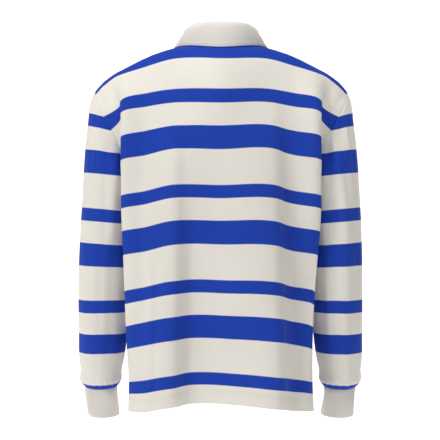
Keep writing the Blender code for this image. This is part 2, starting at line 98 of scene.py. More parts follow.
# Sections of the back, in millimetres: q, then x, y, z at centre, ridge, valley, crest, and at tuck,
# swell, edge. The crest is the long fold that stands out beside the arm, and the tuck is where the
# cloth turns in behind it.
BACK_SECTIONS = (
    (-26, (0, 33, 12), (99, -12, -1), (152, -24, -24), (205, -36, -58),
     (218, -38, -66), (238, -42, -84), (255, -48, -112)),
    (5, (0, 48, -8), (100, 17, -6), (151, 4, -18), (207, -8, -45),
     (222, -10, -52), (245, -12, -66), (266, -14, -84)),
    (36, (0, 66, -33), (100, 38, -30), (148, 25, -41), (204, 17, -58),
     (220, 13, -64), (243, 9, -80), (266, 2, -100)),
    (72, (0, 84, -65), (100, 54, -62), (148, 44, -71), (203, 40, -86),
     (216, 29, -95), (237, 24, -110), (258, 20, -123)),
    (107, (0, 97, -98), (100, 67, -95), (149, 60, -102), (203, 58, -117),
     (208, 42, -128), (224, 37, -139), (243, 34, -148)),
    (131, (0, 100, -124), (100, 74, -121), (149, 66, -128), (203, 63, -141),
     (205, 45, -151), (215, 41, -163), (228, 38, -174)),
    (178, (0, 104, -172), (100, 88, -171), (150, 76, -180), (203, 68, -193),
     (200, 50, -201), (201, 40, -211), (204, 33, -220)),
    (225, (0, 105, -219), (101, 97, -218), (150, 81, -229), (203, 70, -241),
     (198, 54, -249), (191, 41, -256), (185, 23, -262)),
    (270, (0, 105, -264), (102, 100, -264), (150, 83, -275), (202, 70, -286),
     (195, 56, -292), (182, 43, -296), (173, 10, -298)),
    (300, (0, 104, -294), (102, 101, -294), (150, 84, -305), (202, 70, -316),
     (193, 54, -321), (177, 37, -325), (164, 14, -327)),
    (420, (0, 101, -414), (103, 103, -416), (150, 85, -428), (198, 67, -438),
     (190, 52, -442), (176, 36, -445), (165, 18, -447)),
    (558, (0, 95, -552), (105, 106, -556), (149, 89, -566), (190, 64, -578),
     (187, 51, -581), (181, 39, -583), (174, 26, -584)),
    (742, (0, 88, -731), (107, 106, -737), (148, 90, -747), (174, 67, -750),
     (180, 54, -752), (184, 40, -754), (185, 22, -756)),
)
# Sections of the front, in the same order
FRONT_SECTIONS = (
    (-26, (0, -20, 8), (98, -6, 1), (152, 6, -23), (205, 20, -58),
     (218, 22, -66), (238, 26, -84), (255, 32, -112)),
    (5, (0, -55, -14), (99, -32, -14), (151, -20, -24), (207, -8, -45),
     (222, -6, -52), (245, -4, -66), (263, -2, -86)),
    (36, (0, -80, -38), (98, -55, -38), (148, -43, -46), (204, -30, -60),
     (220, -28, -67), (243, -24, -83), (262, -18, -98)),
    (72, (0, -94, -70), (98, -78, -68), (148, -65, -76), (201, -48, -88),
     (215, -42, -96), (235, -38, -112), (254, -33, -122)),
    (107, (0, -102, -101), (98, -92, -100), (148, -80, -107), (198, -60, -120),
     (207, -54, -128), (222, -50, -138), (240, -45, -149)),
    (131, (0, -107, -125), (98, -98, -125), (148, -87, -132), (195, -67, -144),
     (202, -59, -152), (213, -55, -164), (226, -50, -175)),
    (178, (0, -113, -172), (98, -104, -172), (147, -94, -182), (190, -76, -196),
     (194, -63, -205), (198, -53, -214), (203, -45, -221)),
    (225, (0, -116, -219), (98, -107, -220), (146, -98, -231), (183, -78, -245),
     (184, -62, -254), (185, -47, -260), (186, -33, -264)),
    (270, (0, -116, -264), (98, -107, -265), (145, -98, -277), (178, -76, -290),
     (176, -56, -296), (173, -27, -299), (173, 10, -298)),
    (300, (0, -115, -294), (98, -107, -296), (145, -97, -307), (174, -74, -318),
     (169, -52, -323), (163, -21, -326), (164, 14, -327)),
    (420, (0, -109, -414), (98, -103, -416), (145, -90, -426), (173, -66, -438),
     (170, -46, -442), (164, -16, -446), (165, 18, -447)),
    (558, (0, -101, -552), (98, -97, -556), (144, -82, -565), (174, -58, -576),
     (177, -38, -580), (175, -8, -583), (174, 26, -584)),
    (742, (0, -94, -731), (98, -92, -736), (140, -76, -744), (170, -50, -750),
     (178, -32, -753), (183, -6, -755), (185, 22, -756)),
)

# Rings of the sleeve, in millimetres: t, the height on the cut sleeve; z of the ring at RING_X; rise,
# how much z climbs for each millimetre outwards; outer and inner x; the middle and half depth in y.
RING_X = 245.0
SLEEVE_RINGS = (
    # t     z      rise   outer  inner   y_mid  y_half
    (40, -92.0, 0.45, 264.0, 150.0, -5.0, 44.0),
    (107, -147.0, 0.32, 275.0, 160.0, -4.0, 52.0),
    (178, -219.0, 0.14, 283.5, 172.0, -3.0, 56.0),
    (260, -301.0, 0.10, 289.0, 180.0, -4.0, 57.0),
    (370, -412.0, 0.07, 294.5, 184.0, -6.0, 56.0),
    (487, -527.0, 0.0, 297.0, 190.0, -13.0, 53.0),
    (560, -600.0, 0.0, 297.5, 196.0, -22.0, 50.0),
    (640, -668.0, 0.0, 296.5, 207.0, -34.0, 45.0),
    (672, -699.0, 0.0, 291.0, 216.0, -39.0, 39.0),
    (683, -712.0, 0.0, 286.0, 220.0, -41.0, 34.0),
)
# The cuff hangs tilted, its back lower than its front, and the sleeve turns into that tilt above it
CUFF_TILT = 0.24  # drop for each millimetre backwards
TILT_START = 560.0
# Rings of the cuff, which hangs below the sleeve: drop below its seam, outer and inner x, y_mid, y_half
CUFF_RINGS = (
    (0, 286.0, 220.0, -41.0, 34.0),
    (22, 284.0, 219.5, -43.5, 33.0),
    (45, 282.5, 217.0, -46.0, 33.5),
    (60, 282.0, 215.0, -48.0, 34.5),
)
# The cloth height over which the sleeve leaves the armhole's line for its rings
SHOULDER_FADE = 105.0
UNDERARM_FADE = 34.0

# The collar's fold line from the centre back round to the centre front, in millimetres
COLLAR_FOLD = (
    # round  x, y, z
    (0.00, 0, 45, 48.5),
    (0.18, 35, 41, 49.0),
    (0.36, 61, 27, 45.5),
    (0.52, 78, 4, 34.0),
    (0.66, 75, -28, 14.0),
    (0.82, 52, -62, -14.0),
    (1.00, 12, -86, -36.0),
)
# Where the collar's outer edge lies on the back, and past the shoulder seam on the front
COLLAR_SHOULDER = 0.58
COLLAR_ON_BACK = (
    # round  f      q
    (0.00, 0.00, 2.0),
    (0.18, 0.14, 0.0),
    (0.36, 0.26, -6.0),
    (0.50, 0.35, -14.0),
    (COLLAR_SHOULDER, 0.37, -21.2),
)
COLLAR_ON_FRONT = (
    (COLLAR_SHOULDER, 0.37, -21.2),
    (0.66, 0.37, 2.0),
    (0.82, 0.31, 46.0),
    (1.00, 0.22, 96.0),
)
FOLD_HALF = 2.6  # half the width of the roll along the fold line
FOLD_DROP = 4.0  # how far below the fold line the roll's two sides are measured
STAND_BOW = 0.8  # how far the stand bows in at its middle
FALL_BOWS = ((0.35, 2.0), (0.7, 1.2))  # share of the way down the fall, and how far it bows out there

# Seams, hem and stitches, in millimetres
SEAM_LAP = 1.0  # how far each piece runs on under its neighbour
SEAM_DIP = 1.7  # how deep the groove along a seam is
SEAM_ROLL = 2.6  # half the groove's width
EDGE_LINES = (0.0, 1.2, 2.4, 3.8, 5.6, 8.0)  # where the mesh lines beside a panel's edge lie
ARMHOLE_DIP = 0.7  # shares of SEAM_DIP: on the panels, on the sleeves and at the cuff's seam
SLEEVE_DIP = 0.6
CUFF_DIP = 0.7
NECK_EASE = 0.02  # the share of the half width over which the shoulder seam's groove starts
SMOOTH_Q = 10.0  # above this height a panel has no creases, and they grow over CREASE_FADE
CREASE_FADE = 40.0
CREASE_END = 0.3  # the share of its length over which each crease rises and sinks
HEM_SPREAD = 0.034  # how much wider the hem stands than its solid
HEM_SPREAD_START = 380.0
HEM_TURN = 28.0
HEM_TURN_UNDER = 1.45  # the turned-up cloth, inside the panel
HEM_TURN_CLOTH = 1.2 * MM
HEM_STEP = 0.45
HEM_STEP_OVER = 1.5
HEM_STITCHES = (20.0, 26.0)  # each needle line above the edge
STITCH_PITCH = 3.3
STITCH_LENGTH = 2.5
STITCH_RADIUS = 0.42
GROOVE = 0.55
GROOVE_HALF = 1.1
VENT_INSET = {1: 3.6, -1: 0.0}  # how far the back's and the front's edges draw in along the vent
VENT_EASE = 7.0
CORNER_RADIUS = 7.0
CORNER_DRAWN = 0.8

# Hoops, as shares of their repeat: a wide one at its start, and a narrow one about half as tall
HOOP_REPEAT = 190.0
HOOP_START = -12.0
WIDE_HOOP = (0.0, 0.25)
NARROW_HOOP = (0.625, 0.763)
HOOP_SOFT = 0.0016  # half the width of a hoop's edge

WHITE = (0.80, 0.765, 0.70, 1.0)
BLUE = (0.008, 0.048, 0.41, 1.0)
WHITE_RIB = (0.78, 0.745, 0.68)
WHITE_TWILL = (0.80, 0.765, 0.715)

# Creases of the panels, in millimetres: where each starts and ends, how far it bows sideways, how far
# it spreads towards +X and towards -X, and its height, which is less than 0 for a trough
BACK_CREASES = (
    # u0, q0, u1, q1, bow, left, right, height
    (127, 380, 121, 790, 2, 6, 6, -2.2),
    (138, 330, 136, 760, -2, 10, 10, 1.4),
    (-96, 60, -98, 1040, 3, 96, 24, 12),
    (68, 70, 58, 960, 3, 14, 56, -9),
    (54, 230, 38, 1040, 3, 18, 46, -13),
    (-132, 70, -136, 900, 3, 15, 36, -8),
    (-158, 330, -174, 1040, 2, 30, 52, -15),
    (-182, 100, -176, 420, -4, 12, 12, 2.6),
    (160, 120, 156, 640, 3, 12, 12, -1.8),
    (-32, 300, -24, 790, 5, 24, 24, 1.8),
    (214, 40, 206, 140, 3, 6, 6, 1),
    (-214, 34, -206, 150, -3, 6, 6, 1),
    (238, 30, 228, 110, 2, 7, 7, -1.6),
    (-236, 30, -226, 112, -2, 7, 7, -1.6),
    (256, 28, 240, 66, 1, 4, 4, 1.1),
    (-256, 28, -240, 70, -1, 4, 4, 1.1),
    (262, 44, 250, 84, 1, 3.5, 3.5, -1),
    (-262, 44, -250, 84, -1, 3.5, 3.5, -1),
    (-90, 590, -150, 640, 4, 12, 12, 0.9),
)
FRONT_CREASES = (
    (120, 300, 112, 790, -3, 9, 9, -2.2),
    (-118, 340, -124, 790, 3, 8, 8, -2),
    (52, 250, 44, 800, 6, 18, 18, 2.4),
    (-58, 260, -40, 800, -5, 20, 20, 2),
    (205, 60, 150, 260, 8, 12, 12, -2.6),
    (-205, 60, -150, 250, -8, 12, 12, -2.4),
    (232, 40, 214, 150, 3, 8, 8, 1.4),
    (-232, 40, -214, 160, -3, 8, 8, 1.4),
    (196, 250, 140, 330, 4, 9, 9, 1.8),
    (-196, 250, -146, 320, -4, 9, 9, 1.6),
)
# Creases of each sleeve: angle round the tube in degrees and height t where it starts and ends, half
# its width in degrees, and its height in millimetres
LEFT_SLEEVE_CREASES = (
    # a0, t0, a1, t1, half, height
    (0, 0, 0, 130, 50, 2.2),
    (44, 36, 46, 260, 5, -1.8),
    (56, 36, 58, 240, 5, 1.8),
    (80, 70, 92, 420, 8, -2),
    (106, 80, 108, 400, 8, 1.8),
    (84, 330, 88, 720, 10, -2.2),
    (40, 180, 52, 660, 10, 1.4),
    (112, 300, 108, 700, 15, -3),
    (20, 60, 30, 180, 6, -1),
    (8, 44, 12, 110, 4, 1),
    (34, 50, 30, 130, 4.5, 1.2),
    (-60, 90, -72, 480, 11, 2),
    (-100, 150, -96, 640, 12, -2),
    (-30, 200, -26, 650, 9, -1.4),
)
RIGHT_SLEEVE_CREASES = (
    (0, 0, 0, 130, 50, 2.2),
    (82, 40, 80, 280, 4, 2),
    (68, 36, 66, 300, 5, -2.2),
    (47, 30, 52, 330, 5, 2.2),
    (57, 30, 60, 240, 4, -1.2),
    (72, 160, 70, 560, 9, 2.8),
    (98, 80, 96, 560, 9, -3),
    (44, 80, 46, 560, 9, -2),
    (122, 180, 116, 640, 9, 1.6),
    (78, 420, 74, 740, 10, 1.4),
    (18, 60, 26, 200, 6, 1),
    (8, 44, 12, 110, 4, 1),
    (34, 50, 30, 130, 4.5, 1.2),
    (-64, 100, -70, 520, 11, 2),
    (-104, 160, -98, 620, 12, -2),
    (-28, 220, -30, 640, 9, -1.4),
)

# Gathers where the sleeve is sewn into the cuff
GATHERS = 19
GATHER_DEPTH = 1.1
GATHER_HEIGHT = 34.0
GATHER_CLEAR = 16.0  # the gathers flatten over this height into the cuff's seam
# The sleeve's cloth slumps on the cuff: how far it bulges, how far above the seam, and its spread
BLOUSE = 5.4
BLOUSE_ABOVE = 13.0
BLOUSE_SPREAD = 13.0
HOOP_EASE = 3.0  # how far the gathers draw the last hoop up
HOOP_EASE_OVER = 40.0
CUFF_LEVEL = 0.35  # the share of the cuff's tilt that its cloth keeps
CUFF_DRAWN = 1.05  # how much longer the cuff is than its solid
SWING = {"left": 3.0, "right": 0.0}  # how far each sleeve's lower end hangs away from the body
SWING_START = 250.0
SWING_OVER = 250.0
SLEEVE_FADE = 30.0  # the creases grow over this length from the armhole
SLEEVE_RADIUS = 55.0  # of the tube that the sleeve's cloth map is laid round
SLEEVE_ROUND = 2 * math.pi * SLEEVE_RADIUS

# The collar's set: how far its fold has settled, and its edge drawn in and laid on the cloth
COLLAR_SETTLE = 3.0
COLLAR_CLOSE = 0.965
COLLAR_HUG = 2.0
COLLAR_HALF_LENGTH = 225.0
COLLAR_STITCH_IN = 6.0

BAND_TOP = 1.0  # the placket's top below the neckline, 2 closer than its solid's
BAND_STITCH_IN = 3.0
BAND_FOOT = 14.0  # the second stitch line across its foot, above the end

# Cuff rib
RIB_PITCH = 2.7
RIB_HEIGHT = 0.28
CUFF_ROUND = 220.0  # millimetres round the cuff


# ---- Interpolation


def hermite(knots, values, at, own=False):
    """A smooth curve through values at the knots, straight past its ends.

    The values are numbers or vectors, one for each knot, or with own one for each knot and place of at.
    """
    knots = np.asarray(knots, float)
    values = np.asarray(values, float)
    at = np.asarray(at, float)
    steps = np.diff(knots)
    upright = (-1,) + (1,) * (values.ndim - 1)
    rises = np.diff(values, axis=0) / steps.reshape(upright)
    slopes = np.empty_like(values)
    slopes[0] = rises[0]
    slopes[-1] = rises[-1]
    share = (steps[:-1] / (steps[:-1] + steps[1:])).reshape(upright)
    slopes[1:-1] = rises[:-1] * (1 - share) + rises[1:] * share
    i = np.clip(np.searchsorted(knots, at, side="right") - 1, 0, len(knots) - 2)

    def pick(table, index):
        if own:
            return np.take_along_axis(table, index[None, ..., None], 0)[0]
        return table[index]

    deeper = 1 if own else values.ndim - 1
    wide = at.shape + (1,) * deeper
    span = steps[i].reshape(wide)
    s = ((at - knots[i]) / steps[i]).reshape(wide)
    low, high = pick(values, i), pick(values, i + 1)
    a, b = pick(slopes, i) * span, pick(slopes, i + 1) * span
    rise = high - low
    curve = low + a * s + (rise * 3 - a * 2 - b) * s**2 + (a + b - rise * 2) * s**3
    return np.where(s < 0, low + a * s, np.where(s > 1, high + b * (s - 1), curve))


def table_at(table, at):
    """A table's other columns, at places in its first column."""
    return hermite([row[0] for row in table], [row[1:] for row in table], at)


def smooth_step(s):
    s = np.clip(s, 0.0, 1.0)
    return s * s * (3 - 2 * s)


def blend(low, high, share):
    return low + (high - low) * share


def unit(vectors):
    return vectors / np.maximum(np.linalg.norm(vectors, axis=-1, keepdims=True), 1e-9)


def line_lengths(points):
    """How far along a line each of its points lies."""
    steps = np.linalg.norm(np.diff(points, axis=0), axis=1)
    return np.concatenate([[0.0], np.cumsum(steps)])


def on_line(at, along, vectors):
    """The vectors at places along a line, where along says how far along each of them lies."""
    return np.stack([np.interp(at, along, vectors[:, i]) for i in range(3)], axis=-1)


def crease_ends(along):
    """1 along a crease, falling to 0 at its two ends."""
    return smooth_step(along / CREASE_END) * smooth_step((1 - along) / CREASE_END)


# ---- The two panels


def raw_panel(sections, f, q):
    """Points f, q of a panel, in millimetres, before its shoulder is laid on the seam line."""
    half = table_at(sections, q)
    mirrored = half[..., :0:-1, :] * (-1.0, 1.0, 1.0)
    across = np.moveaxis(np.concatenate([mirrored, half], axis=-2), -2, 0)
    names = list(STATIONS.values())
    shares = [-s for s in reversed(names[1:])] + names
    return hermite(shares, across, f, own=True)


def shoulder_q(f):
    return blend(NECK_SIDE_Q, SHOULDER_POINT_Q, (np.abs(f) - NECK_F) / (1 - NECK_F))


def panel(sections, f, q):
    """Points f, q of a panel in millimetres. Near the shoulder it bends to the seam line."""
    f, q = np.broadcast_arrays(np.asarray(f, float), np.asarray(q, float))
    point = raw_panel(sections, f, q)
    seam_q = shoulder_q(f)
    line = (raw_panel(BACK_SECTIONS, f, seam_q) + raw_panel(FRONT_SECTIONS, f, seam_q)) / 2
    off = line - raw_panel(sections, f, seam_q)
    near_seam = 1 - smooth_step((q - seam_q) / SHOULDER_BEND)
    past_neck = smooth_step((np.abs(f) - NECK_F + NECK_BLEND) / NECK_BLEND)
    return point + off * (near_seam * past_neck)[..., None]


def side_of(sections):
    """+1 where the panel's outside faces +Y, and -1 at the front."""
    return 1 if sections is BACK_SECTIONS else -1


def lifted(sections, f, q, by):
    """Points of the panel moved out of its surface by so many millimetres."""
    f_step, q_step = 0.01, 2.0
    across = panel(sections, f + f_step, q) - panel(sections, f - f_step, q)
    down = panel(sections, f, q + q_step) - panel(sections, f, q - q_step)
    normal = unit(np.cross(across, down)) * side_of(sections)
    return panel(sections, f, q) + normal * np.asarray(by)[..., None]


def neck_q(sections, f):
    share = np.minimum(np.abs(f) / NECK_F, 1.0)
    if sections is BACK_SECTIONS:
        return blend(NECK_BACK_Q, NECK_SIDE_Q, share**2)
    squared = np.sqrt(np.maximum(1 - share**NECK_SQUARENESS, 0.0))
    return NECK_SIDE_Q + (NECK_FRONT_Q - NECK_SIDE_Q) * squared


def top_q(sections, f):
    return np.where(np.abs(f) <= NECK_F, neck_q(sections, f), shoulder_q(f))


def outward(grid, side, closed=False):
    """Unit vectors out of a grid of points."""
    if closed:
        across = np.roll(grid, -1, axis=1) - np.roll(grid, 1, axis=1)
    else:
        across = np.gradient(grid, axis=1)
    return unit(np.cross(across, np.gradient(grid, axis=0))) * side


def crease_height(creases, u, q):
    """How far the creases lift the cloth at u, q."""
    total = np.zeros(np.broadcast(u, q).shape)
    for u0, q0, u1, q1, bow, left, right, height in creases:
        length = math.hypot(u1 - u0, q1 - q0)
        along = ((u - u0) * (u1 - u0) + (q - q0) * (q1 - q0)) / length**2
        aside = ((u - u0) * (q1 - q0) - (q - q0) * (u1 - u0)) / length
        s = np.clip(along, 0, 1)
        aside = aside - bow * 4 * s * (1 - s)
        spread = np.where(aside > 0, left, right)
        total += height * crease_ends(along) * np.exp(-((aside / spread) ** 2))
    return total


def slackness(u, q, seed):
    """Small slow unevenness of cloth that hangs free, in millimetres."""
    return (
        0.55 * np.sin(u / 31.0 + q / 170.0 + seed)
        + 0.40 * np.sin(u / 17.0 - q / 120.0 + 2.1 * seed)
        + 0.30 * np.sin(u / 53.0 + q / 61.0 + 0.7 * seed)
    )


def seam_dip(distance):
    """The groove along a seam, at so many millimetres from it."""
    return -SEAM_DIP * np.exp(-((distance / SEAM_ROLL) ** 2))


def vent_inset(sections, q):
    """How far the edge draws in below the top of the vent, with its rounded corner."""
    drawn = VENT_INSET[side_of(sections)] * smooth_step((q - HEM_Q + VENT_LENGTH) / VENT_EASE)
    down = np.clip((q - HEM_Q + CORNER_RADIUS) / CORNER_RADIUS, 0, 1)
    return drawn + CORNER_RADIUS * (1 - np.sqrt(1 - down**2)) * CORNER_DRAWN


def panel_columns(sections):
    """Shares of the half width, closer together at the edges, and on the slit's edges at the front."""
    edge = 1 - np.array(EDGE_LINES) / PANEL_HALF_WIDTH
    lap = [1 + SEAM_LAP / PANEL_HALF_WIDTH]
    half = np.concatenate([np.linspace(0, edge[-1], 62)[:-1], edge[::-1], lap])
    if sections is FRONT_SECTIONS:
        slit = SLIT_HALF_WIDTH / PANEL_HALF_WIDTH
        half[np.argmin(np.abs(half - slit))] = slit
    return np.concatenate([-half[:0:-1], half])


def panel_rows():
    """Shares of the way from the top edge to the hem, closer together at both ends."""
    length = HEM_Q - SHOULDER_POINT_Q
    top = np.array((-SEAM_LAP, *EDGE_LINES)) / length
    hem = 1 - np.arange(28, -1, -1) * 1.15 / length
    return np.concatenate([top, np.linspace(top[-1], hem[0], 148)[1:-1], hem])


def panel_grid(sections, creases, seed):
    """The whole panel as rows of points, and each point's place on the cut cloth, in millimetres."""
    side = side_of(sections)
    f, share = np.meshgrid(panel_columns(sections), panel_rows())
    q = blend(top_q(sections, f), HEM_Q, share)
    inset = vent_inset(sections, q) / PANEL_HALF_WIDTH
    base = panel(sections, f * (1 - inset), q)
    u = f * PANEL_HALF_WIDTH
    height = crease_height(creases, u, q) + slackness(u, q, seed)
    height *= smooth_step((q - SMOOTH_Q) / CREASE_FADE)
    sewn = 1 - smooth_step((q - HEM_Q + VENT_LENGTH) / VENT_EASE)
    height += ARMHOLE_DIP * seam_dip((1 - np.abs(f)) * PANEL_HALF_WIDTH) * sewn
    shoulder = smooth_step((np.abs(f) - NECK_F) / NECK_EASE)
    height += seam_dip(share * (HEM_Q - SHOULDER_POINT_Q)) * shoulder
    height += HEM_STEP * smooth_step((q - HEM_Q + HEM_TURN) / HEM_STEP_OVER)
    for line in HEM_STITCHES:
        height -= GROOVE * np.exp(-(((q - HEM_Q + line) / GROOVE_HALF) ** 2))
    grid = base + outward(base, side) * height[..., None]
    lower = (q - HEM_SPREAD_START) / (HEM_Q - HEM_SPREAD_START)
    grid[..., 0] *= 1 + HEM_SPREAD * smooth_step(lower)
    return grid, u, q


# ---- The sleeves and cuffs


def ring_point(t, angle):
    """Points of the left sleeve's tube; angle 0 is outermost, 90 at the back and 180 innermost."""
    z, rise, outer, inner, y_mid, y_half = np.moveaxis(table_at(SLEEVE_RINGS, t), -1, 0)
    x = (outer + inner) / 2 + (outer - inner) / 2 * np.cos(np.radians(angle))
    y = y_mid + y_half * np.sin(np.radians(angle))
    lower = (t - TILT_START) / (SLEEVE_RINGS[-1][0] - TILT_START)
    tilt = CUFF_LEVEL * CUFF_TILT * smooth_step(lower)
    return np.stack([x, y, z + rise * (x - RING_X) - tilt * (y - y_mid)], axis=-1)


def ring_height(points):
    """The cloth height t of the sleeve's ring that passes through each point."""
    low = np.full(len(points), SLEEVE_RINGS[0][0] - 60.0)
    high = np.full(len(points), float(SLEEVE_RINGS[-1][0]))
    for _ in range(40):
        t = (low + high) / 2
        z, rise = np.moveaxis(table_at(SLEEVE_RINGS, t), -1, 0)[:2]
        above = z + rise * (points[:, 0] - RING_X) > points[:, 2]
        low, high = np.where(above, t, low), np.where(above, high, t)
    return (low + high) / 2


def armhole_loop(angles):
    """The left armhole's seam points: from the shoulder point down the back, and up the front."""
    down = angles <= 180
    share = np.where(down, angles / 180, 2 - angles / 180)
    q = blend(SHOULDER_POINT_Q, UNDERARM_Q, share)
    back = panel(BACK_SECTIONS, np.ones_like(q), q)
    front = panel(FRONT_SECTIONS, np.ones_like(q), q)
    return np.where(down[:, None], back, front)


def sleeve_creases(creases, angle, t):
    total = np.zeros(angle.shape)
    for a0, t0, a1, t1, half, height in creases:
        along = (t - t0) / (t1 - t0)
        aside = (angle - blend(a0, a1, np.clip(along, 0, 1)) + 180) % 360 - 180
        total += height * crease_ends(along) * np.exp(-((aside / half) ** 2))
    return total


def gathers(angle, t, seed):
    """Small pleats above the cuff's seam, deepest on the inner side."""
    turn = np.radians(angle)
    up = SLEEVE_RINGS[-1][0] - t
    near = smooth_step((GATHER_HEIGHT - up) / GATHER_HEIGHT) * smooth_step(up / GATHER_CLEAR)
    wave = np.cos(GATHERS * turn + 1.3 * np.sin(3 * turn + seed) + 0.8 * np.sin(2 * turn - seed))
    inner = 0.6 + 0.5 * (1 - np.cos(turn)) / 2
    return GATHER_DEPTH * near * wave * inner


def sleeve_grid(creases, seed, swing, columns=144):
    """Rows of points down the left sleeve, the first just under the armhole's edge."""
    angles = np.arange(columns) * 360 / columns
    start = armhole_loop(angles)
    first = ring_height(start)
    end = SLEEVE_RINGS[-1][0] + SEAM_LAP
    off = start - ring_point(first, angles)
    fade_length = blend(SHOULDER_FADE, UNDERARM_FADE, (1 - np.cos(np.radians(angles))) / 2)
    middle = np.linspace(8.0, 1000.0 - 16.0, 150) / 1000.0
    top, foot = [-0.002, 0.0, 0.0015, 0.003, 0.005], [0.988, 0.992, 0.9955, 1.0]
    share = np.concatenate([top, middle, foot])
    t = blend(first[None, :], end, share[:, None])
    angle = np.broadcast_to(angles, t.shape)
    fade = 1 - smooth_step((t - first) / fade_length)
    base = ring_point(t, angle) + off[None, :, :] * fade[..., None]
    u = np.radians(angle) * SLEEVE_RADIUS
    from_seam = t - first
    height = sleeve_creases(creases, angle, t)
    height += slackness(u, t, seed) * 0.8 * np.cos(np.radians(angle) / 2) ** 2
    height *= smooth_step(from_seam / SLEEVE_FADE)
    height += gathers(angle, t, seed) + SLEEVE_DIP * seam_dip(from_seam) + CUFF_DIP * seam_dip(end - t)
    height += BLOUSE * np.exp(-(((t - end + BLOUSE_ABOVE) / BLOUSE_SPREAD) ** 2))
    grid = base + outward(base, -1, closed=True) * height[..., None]
    grid[..., 0] += swing * smooth_step((t - SWING_START) / SWING_OVER)
    return grid, u, t + HOOP_EASE * smooth_step((t - end + HOOP_EASE_OVER) / HOOP_EASE_OVER)


def cuff_grid(seed, swing):
    """Rows of points down the left cuff, ribbed along its length."""
    ribs = round(CUFF_ROUND / RIB_PITCH)
    columns = ribs * 5
    length = CUFF_RINGS[-1][0]
    middle = np.linspace(3.5, length - 2.5, 22)
    drops = np.concatenate([[-2.0, -0.6, 0.6, 1.8], middle, [length - 1.0, length]])
    outer, inner, y_mid, y_half = np.moveaxis(table_at(CUFF_RINGS, drops), -1, 0)[..., None]
    turn = np.arange(columns) * 2 * math.pi / columns
    x = (outer + inner) / 2 + (outer - inner) / 2 * np.cos(turn)
    back = y_half * np.sin(turn)
    z = SLEEVE_RINGS[-1][1] - CUFF_DRAWN * drops[:, None] - CUFF_LEVEL * CUFF_TILT * back
    base = np.stack([x, y_mid + back, z], axis=-1)
    u, drop = np.meshgrid(turn / (2 * math.pi) * CUFF_ROUND, drops)
    soft = smooth_step(drop / 15.0)
    height = RIB_HEIGHT * np.cos(ribs * turn)
    height = height + 1.0 * soft * np.sin(2 * turn + drop / 22.0 + seed)
    height = height + 0.7 * soft * np.sin(3 * turn - drop / 17.0 + 2 * seed)
    height = height + CUFF_DIP * seam_dip(np.maximum(drop, 0.0))
    height = height - 0.8 * smooth_step((drop - length + 2.5) / 2.5)
    grid = base + outward(base, -1, closed=True) * height[..., None]
    grid[..., 0] += swing
    return grid, u, drop


# ---- The collar


def neck_seam():
    """(how far round, points) of the neckline from the centre back to the slit, evenly along it."""
    slit = SLIT_HALF_WIDTH / PANEL_HALF_WIDTH
    shares = np.linspace(0, 1, 40)
    back = NECK_F * shares
    front = blend(NECK_F, slit, np.sin(math.pi / 2 * shares) ** 2)[1:]
    points = np.concatenate([
        panel(BACK_SECTIONS, back, neck_q(BACK_SECTIONS, back)),
        panel(FRONT_SECTIONS, front, neck_q(FRONT_SECTIONS, front)),
    ])
    along = line_lengths(points)
    return along / along[-1], points


def collar_half(shares):
    """The collar's main section points round one half: foot, stand, fold, fall and outer edge."""
    fold = table_at(COLLAR_FOLD, shares) - np.array([0.0, 0.0, COLLAR_SETTLE])
    on_back = shares < COLLAR_SHOULDER
    edges = []
    for path, sections in ((COLLAR_ON_BACK, BACK_SECTIONS), (COLLAR_ON_FRONT, FRONT_SECTIONS)):
        f, q = np.moveaxis(table_at(path, shares), -1, 0)
        edges.append(lifted(sections, f * COLLAR_CLOSE, q + 1.0, COLLAR_HUG))
    edge = np.where(on_back[:, None], edges[0], edges[1])
    keys, seam = neck_seam()
    foot = on_line(shares, keys, seam)
    out = unit((edge - foot) * (1.0, 1.0, 0.0))
    down = np.array([0.0, 0.0, FOLD_DROP])
    inner = fold - out * FOLD_HALF - down
    outer = fold + out * FOLD_HALF - down
    stand = [foot, blend(foot, inner, 0.5) - out * STAND_BOW, inner]
    fall = [blend(outer, edge, share) + out * bow for share, bow in FALL_BOWS]
    return np.stack(stand + [fold, outer] + fall + [edge])


def collar_grid(columns=81):
    shares = np.linspace(0, 1, columns)
    half = collar_half(shares)
    mirrored = half[:, :0:-1] * (-1.0, 1.0, 1.0)
    main = np.concatenate([mirrored, half], axis=1)
    along = line_lengths(main[:, columns - 1])
    end = along[-1]
    rows = np.concatenate([np.linspace(0, end - 9, 46), np.linspace(end - 8, end, 10)])
    grid = hermite(along, main, rows)
    u = np.concatenate([-shares[:0:-1], shares]) * COLLAR_HALF_LENGTH
    u, v = np.meshgrid(u, rows)
    height = -0.5 * np.exp(-((end - v - COLLAR_STITCH_IN) ** 2))
    height = height + 0.5 * np.sin(u / 27.0 + 0.8) * smooth_step((v - 50.0) / 30.0)
    grid = grid + outward(grid, -1) * height[..., None]
    return grid, u, v


# ---- Meshes


def new_piece(name, verts, faces, material):
    mesh = bpy.data.meshes.new(name)
    mesh.from_pydata(verts, [], faces)
    mesh.materials.append(material)
    mesh.shade_smooth()
    piece = bpy.data.objects.new(name, mesh)
    bpy.context.scene.collection.objects.link(piece)
    return piece


